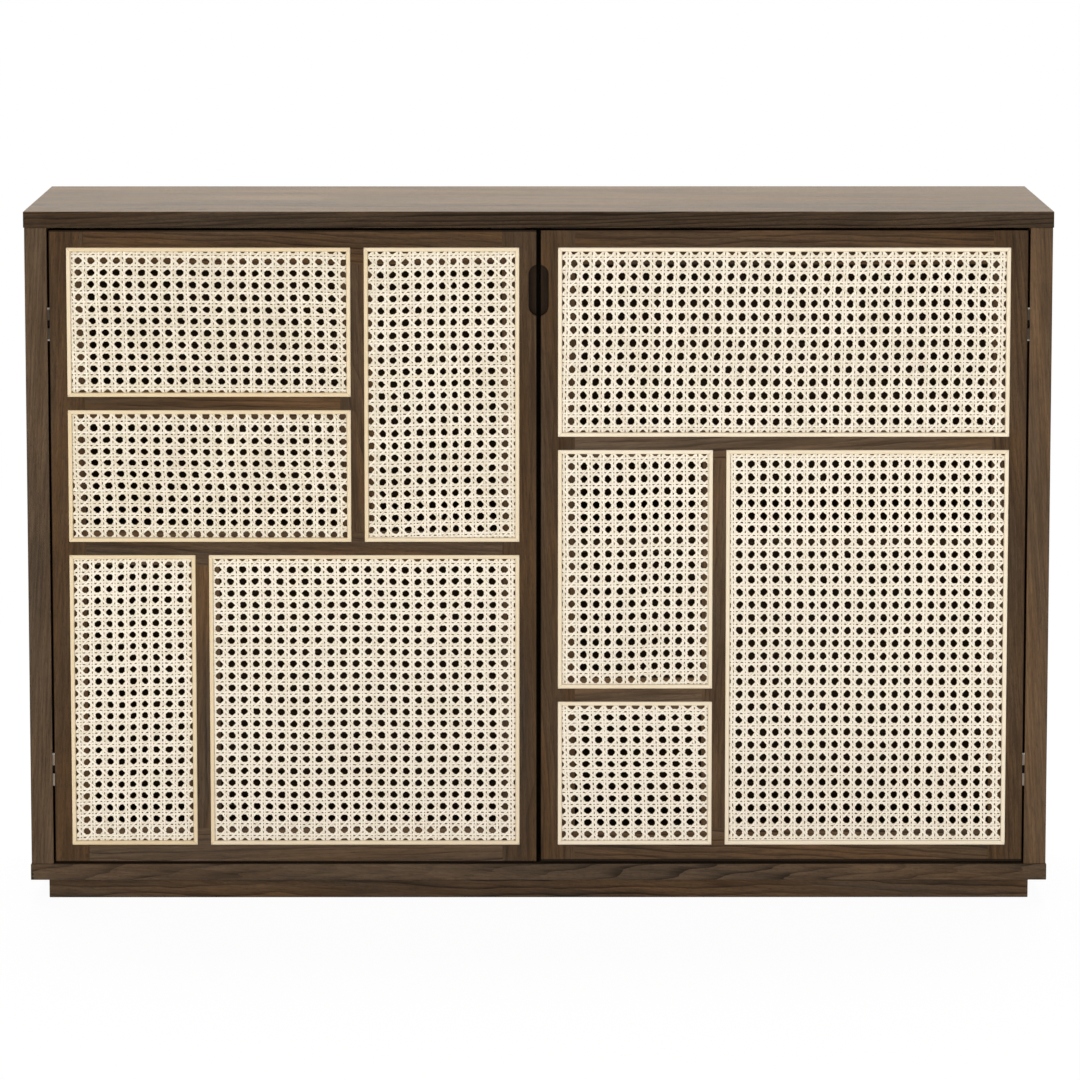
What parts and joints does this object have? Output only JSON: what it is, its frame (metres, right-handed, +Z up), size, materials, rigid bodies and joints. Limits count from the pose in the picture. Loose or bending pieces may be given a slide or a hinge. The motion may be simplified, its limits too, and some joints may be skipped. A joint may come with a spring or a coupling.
{
  "type": "sideboard",
  "caption": "Low dark oak sideboard on a recessed plinth, with inset doors of cane panels in an uneven grid, a finger pull between the doors, and shelves inside.",
  "frame": {"origin": "on the floor under the middle of the cabinet", "axes": "+X along the front to the right, +Y from the front to the back, +Z up"},
  "size_m": [1.2, 0.4, 0.816],
  "materials": {
    "dark_oak": "satin smoked oak",
    "cane": "natural woven cane",
    "pale_bead": "natural pale wood",
    "hinge_steel": "satin nickel",
    "catch_plastic": "matt",
    "beech": "bare"
  },
  "bodies": {
    "carcass": {"back_panel": "dark_oak", "bottom_panel": "dark_oak", "carcass_hinge_screws": "hinge_steel", "centre_partition": "dark_oak", "left_hinge_cases": "hinge_steel", "left_shelf": "dark_oak", "left_side_panel": "dark_oak", "loose_tenons": "beech", "magnetic_catches": "catch_plastic", "plinth_back": "dark_oak", "plinth_front": "dark_oak", "plinth_left": "dark_oak", "plinth_right": "dark_oak", "right_hinge_cases": "hinge_steel", "right_shelf": "dark_oak", "right_side_panel": "dark_oak", "shelf_pins": "hinge_steel", "top_panel": "dark_oak"},
    "left_door": {"left_door_bottom_rail": "dark_oak", "left_door_cross_bar": "dark_oak", "left_door_hinge_cases": "hinge_steel", "left_door_hinge_screws": "hinge_steel", "left_door_hinge_stile": "dark_oak", "left_door_lock_stile": "dark_oak", "left_door_lower_mullion": "dark_oak", "left_door_middle_rail": "dark_oak", "left_door_top_rail": "dark_oak", "left_door_upper_mullion": "dark_oak", "left_large_bead": "pale_bead", "left_large_cane": "cane", "left_narrow_bead": "pale_bead", "left_narrow_cane": "cane", "left_second_bead": "pale_bead", "left_second_cane": "cane", "left_strike_plate": "hinge_steel", "left_tall_bead": "pale_bead", "left_tall_cane": "cane", "left_top_bead": "pale_bead", "left_top_cane": "cane"},
    "right_door": {"right_door_bottom_rail": "dark_oak", "right_door_cross_bar": "dark_oak", "right_door_hinge_cases": "hinge_steel", "right_door_hinge_screws": "hinge_steel", "right_door_hinge_stile": "dark_oak", "right_door_lock_stile": "dark_oak", "right_door_middle_rail": "dark_oak", "right_door_mullion": "dark_oak", "right_door_top_rail": "dark_oak", "right_large_bead": "pale_bead", "right_large_cane": "cane", "right_second_bead": "pale_bead", "right_second_cane": "cane", "right_small_bead": "pale_bead", "right_small_cane": "cane", "right_strike_plate": "hinge_steel", "right_wide_bead": "pale_bead", "right_wide_cane": "cane"},
    "left_hinge_arms": {"left_hinge_arms": "hinge_steel"},
    "right_hinge_arms": {"right_hinge_arms": "hinge_steel"}
  },
  "joints": [
    {"name": "left_door_swing", "type": "hinge", "parent": "carcass", "child": "left_door", "pos_m": [-0.57175, -0.199, 0.4205], "axis": [0, 0, -1], "range_deg": [0, 95]},
    {"name": "left_arm_swing", "type": "hinge", "parent": "carcass", "child": "left_hinge_arms", "pos_m": [-0.57175, -0.199, 0.4205], "axis": [0, 0, -1], "range_deg": [0, 47.5]},
    {"name": "right_door_swing", "type": "hinge", "parent": "carcass", "child": "right_door", "pos_m": [0.57175, -0.199, 0.4205], "axis": [0, 0, 1], "range_deg": [0, 95]},
    {"name": "right_arm_swing", "type": "hinge", "parent": "carcass", "child": "right_hinge_arms", "pos_m": [0.57175, -0.199, 0.4205], "axis": [0, 0, 1], "range_deg": [0, 47.5]}
  ],
  "couplings": [
    {"joint": "left_arm_swing", "follows": "left_door_swing", "ratio": 0.5},
    {"joint": "right_arm_swing", "follows": "right_door_swing", "ratio": 0.5}
  ]
}
